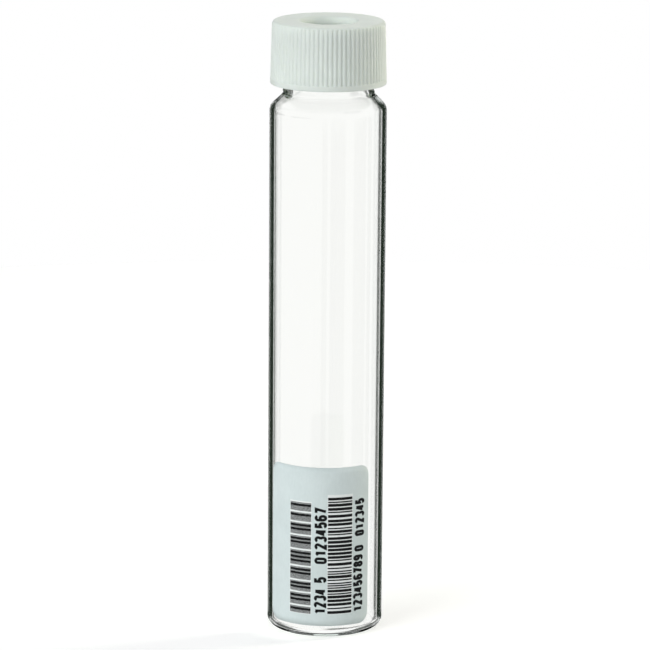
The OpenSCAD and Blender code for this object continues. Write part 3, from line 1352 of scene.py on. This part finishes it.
@dataclass
class Studio:
    """White studio: a pale floor, soft lamps, and dark cards that draw the edges of the glass.

    Attributes:
        ambient: Level of the light from all round.
        floor_r: Radius of the floor, in metres.
        floor_colour: Colour of the floor.
        floor_glow: Light that the camera sees the floor add, so that it stays white.
        card_colour: Colour of the dark cards, a deep green.
        wall_crossings: Crossings of a glass surface past which light has come across the inside of the vial.
        bounces: How often light may turn in all, by reflection and through glass, enough for the thin glass floor.
        cards: Dark cards round the set.
        lamps: Soft lamps.
    """

    ambient: float = 0.42
    floor_r: float = 0.42
    floor_colour: Colour = (0.8, 0.8, 0.8)
    floor_glow: float = 0.36
    card_colour: Colour = (0.012, 0.021, 0.013)
    wall_crossings: float = 2.5
    bounces: tuple[int, int, int] = (20, 10, 20)
    cards: tuple[EdgeCards, ...] = (
        EdgeCards(90.0, -19.5, 30.0),
        EdgeCards(90.0, -34.0, -19.0, end=27.0),
        EdgeCards(90.0, -55.0, -33.0),
        EdgeCards(135.0, -32.0, -21.0),
        EdgeCards(180.0, -7.0, 4.0),
        EdgeCards(315.0, -25.0, -8.0, wall_only=True),
    )
    lamps: tuple[Lamp, ...] = (
        Lamp("key_lamp", (-0.72, -0.65, 0.46), (0.6, 0.7), 6.5, (0.97, 0.99, 1.0)),
        Lamp("side_lamp", (0.45, 0.15, 0.27), (0.1, 0.15), 1.25, (1.0, 0.96, 0.8)),
        Lamp("back_lamp", (0.3, 0.95, 0.3), (0.6, 0.7), 3.4),
        Lamp("top_lamp", (-0.1, -0.5, 0.9), (0.6, 0.6), 0.15),
    )

    def world(self) -> None:
        """Makes the world: white where it is seen, with the dark cards for what glass shows, and soft light."""
        world = bpy.data.worlds.new("white_studio")
        world.use_nodes = True
        graph = NodeGraph(world.node_tree)
        path = graph.node("LightPath").outputs
        through = path["Is Transmission Ray"]
        bent = graph.math("MAXIMUM", path["Is Glossy Ray"], through)
        seen = graph.math("MAXIMUM", path["Is Camera Ray"], bent)
        past_wall = graph.math("GREATER_THAN", path["Transmission Depth"], self.wall_crossings)
        across = graph.math("MULTIPLY", through, past_wall)
        way = graph.out("TexCoord", name="Generated")
        rise = graph.out("SeparateXYZ", {"Vector": way}, "Z")
        flat = graph.out("VectorMath", {0: graph.level(way)}, operation="NORMALIZE")
        shade: object = 0.0
        for card in self.cards:
            shade = graph.math("MAXIMUM", shade, card.shade(graph, flat, rise, through, across))
        colour = graph.blend(graph.math("MULTIPLY", shade, bent), (1.0, 1.0, 1.0), self.card_colour)
        level = graph.math("ADD", graph.math("MULTIPLY", seen, 1.0 - self.ambient), self.ambient)
        graph.node("OutputWorld", {"Surface": graph.out("Background", {"Strength": level, "Color": colour})})
        bpy.context.scene.world = world

    def floor(self) -> None:
        """Makes the floor, which glass and gloss look through to the studio behind it."""
        bpy.ops.mesh.primitive_circle_add(vertices=96, radius=self.floor_r, fill_type="NGON")
        floor = bpy.context.object
        floor.name = "studio_floor"
        material, graph = new_material("studio_floor")
        paint = graph.out("BsdfDiffuse", {"Color": self.floor_colour})
        camera = graph.out("LightPath", name="Is Camera Ray")
        glow = graph.out("Emission", {"Strength": graph.math("MULTIPLY", camera, self.floor_glow)})
        graph.surface(graph.out("AddShader", {0: paint, 1: glow}))
        floor.data.materials.append(material)
        floor.visible_transmission = False
        floor.visible_glossy = False
        floor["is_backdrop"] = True

    def build(self, aim: Vector) -> None:
        """Makes the studio.

        Args:
            aim: Point that the lamps face, in metres.
        """
        self.world()
        self.floor()
        for lamp in self.lamps:
            lamp.build(aim)
        paths = bpy.context.scene.cycles
        paths.max_bounces, paths.glossy_bounces, paths.transmission_bounces = self.bounces
        bpy.context.scene.view_settings.view_transform = "Standard"


@dataclass(frozen=True)
class PhotoCamera:
    """Camera at the photograph's viewing angle.

    Attributes:
        distance: Distance from the aim, in millimetres.
        elevation: Angle above the horizon, in degrees.
        roll: How far the picture leans, in degrees.
        aim: Point in the middle of the picture, in millimetres.
        lens: Focal length, in millimetres.
        sensor: Width of the sensor, in millimetres.
    """

    distance: float = 915.8
    elevation: float = 12.895
    roll: float = 0.4266
    aim: Place = (-0.37, 0.0, 73.23)
    lens: float = 214.25
    sensor: float = 36.0

    def build(self) -> Piece:
        """Returns the camera, set as the scene's own."""
        tilt, lean = math.radians(self.elevation), math.radians(self.roll)
        ahead = Vector((0.0, math.cos(tilt), -math.sin(tilt)))
        right = Vector((1.0, 0.0, 0.0))
        up = right.cross(ahead)
        leaned_right = right * math.cos(lean) + up * math.sin(lean)
        leaned_up = up * math.cos(lean) - right * math.sin(lean)
        data = bpy.data.cameras.new("photo_camera")
        data.sensor_width = self.sensor
        data.lens = self.lens
        camera = bpy.data.objects.new("photo_camera", data)
        turn = Matrix((leaned_right, leaned_up, -ahead)).transposed().to_4x4()
        eye = (Vector(self.aim) - ahead * self.distance) * MM
        camera.matrix_world = Matrix.Translation(eye) @ turn
        bpy.context.scene.collection.objects.link(camera)
        bpy.context.scene.camera = camera
        return camera


@dataclass
class VialScene:
    """The whole vial, with sizes that are read from the frame.

    Attributes:
        skirt_clearance: Gap between the glass thread's crest and the skirt.
        bulge_gap: Gap between the septum's bulge and the hole's wall.
    """

    skirt_clearance: float = 0.4
    bulge_gap: float = 0.3

    @staticmethod
    def box(node: str) -> tuple[Vector, Vector]:
        """Returns the lowest and highest corner of a node of the frame, in millimetres."""
        low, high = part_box(node)
        return low / MM, high / MM

    @staticmethod
    def mount_radius(name: str) -> float:
        """Returns the radius of a mount of the record, in millimetres."""
        return next(m["dims"]["r_mm"] for m in frame["record"]["mounts"] if m["name"] == name)

    def build(self) -> list[Piece]:
        """Returns every piece, from the glass out."""
        glass_high = self.box("glass_vial")[1]
        cap_low, cap_high = self.box("screw_cap")
        septum_low, septum_high = self.box("septum")
        label_low, label_high = self.box("label")
        thread = Thread()
        vial = GlassVial(self.mount_radius("body"), glass_high.z, thread)
        skirt_r = vial.neck_r() + vial.bead_h + self.skirt_clearance
        hole_r = self.mount_radius("needle_port")
        cap = ScrewCap(cap_low.z, cap_high.z, cap_high.x, hole_r, skirt_r, thread, vial.thread_z() - thread.pitch / 2)
        septum = Septum(septum_high.x, septum_low.z, cap.top_z - cap.panel_t, hole_r - self.bulge_gap)
        label = PaperLabel(vial.body_r, label_low.z, label_high.z - label_low.z)
        paper = LabelPaper(face_r=(vial.body_r + label.thickness / 2) * MM)
        return [*vial.build(ClearGlass()), *cap.build(MouldedPlastic()), *septum.build(), *label.build(paper)]


def write_sizes() -> None:
    """Works out the boxes of the frame and of the dressed model, in metres, but does not keep or write them."""
    boxes = {"cad": CAD_BOX, "visual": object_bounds()}
    {name: [list(corner) for corner in box] for name, box in boxes.items()}


def main() -> None:
    """Builds the camera, the vial and the studio, and reports each piece."""
    logging.basicConfig(level=logging.INFO, format="%(name)s: %(message)s")
    camera = PhotoCamera()
    camera.build()
    for piece in VialScene().build():
        LOG.info("%s: %d faces", piece.name, len(piece.data.polygons))
    Studio().build(Vector(camera.aim) * MM)
    write_sizes()


if __name__ == "__main__":
    main()
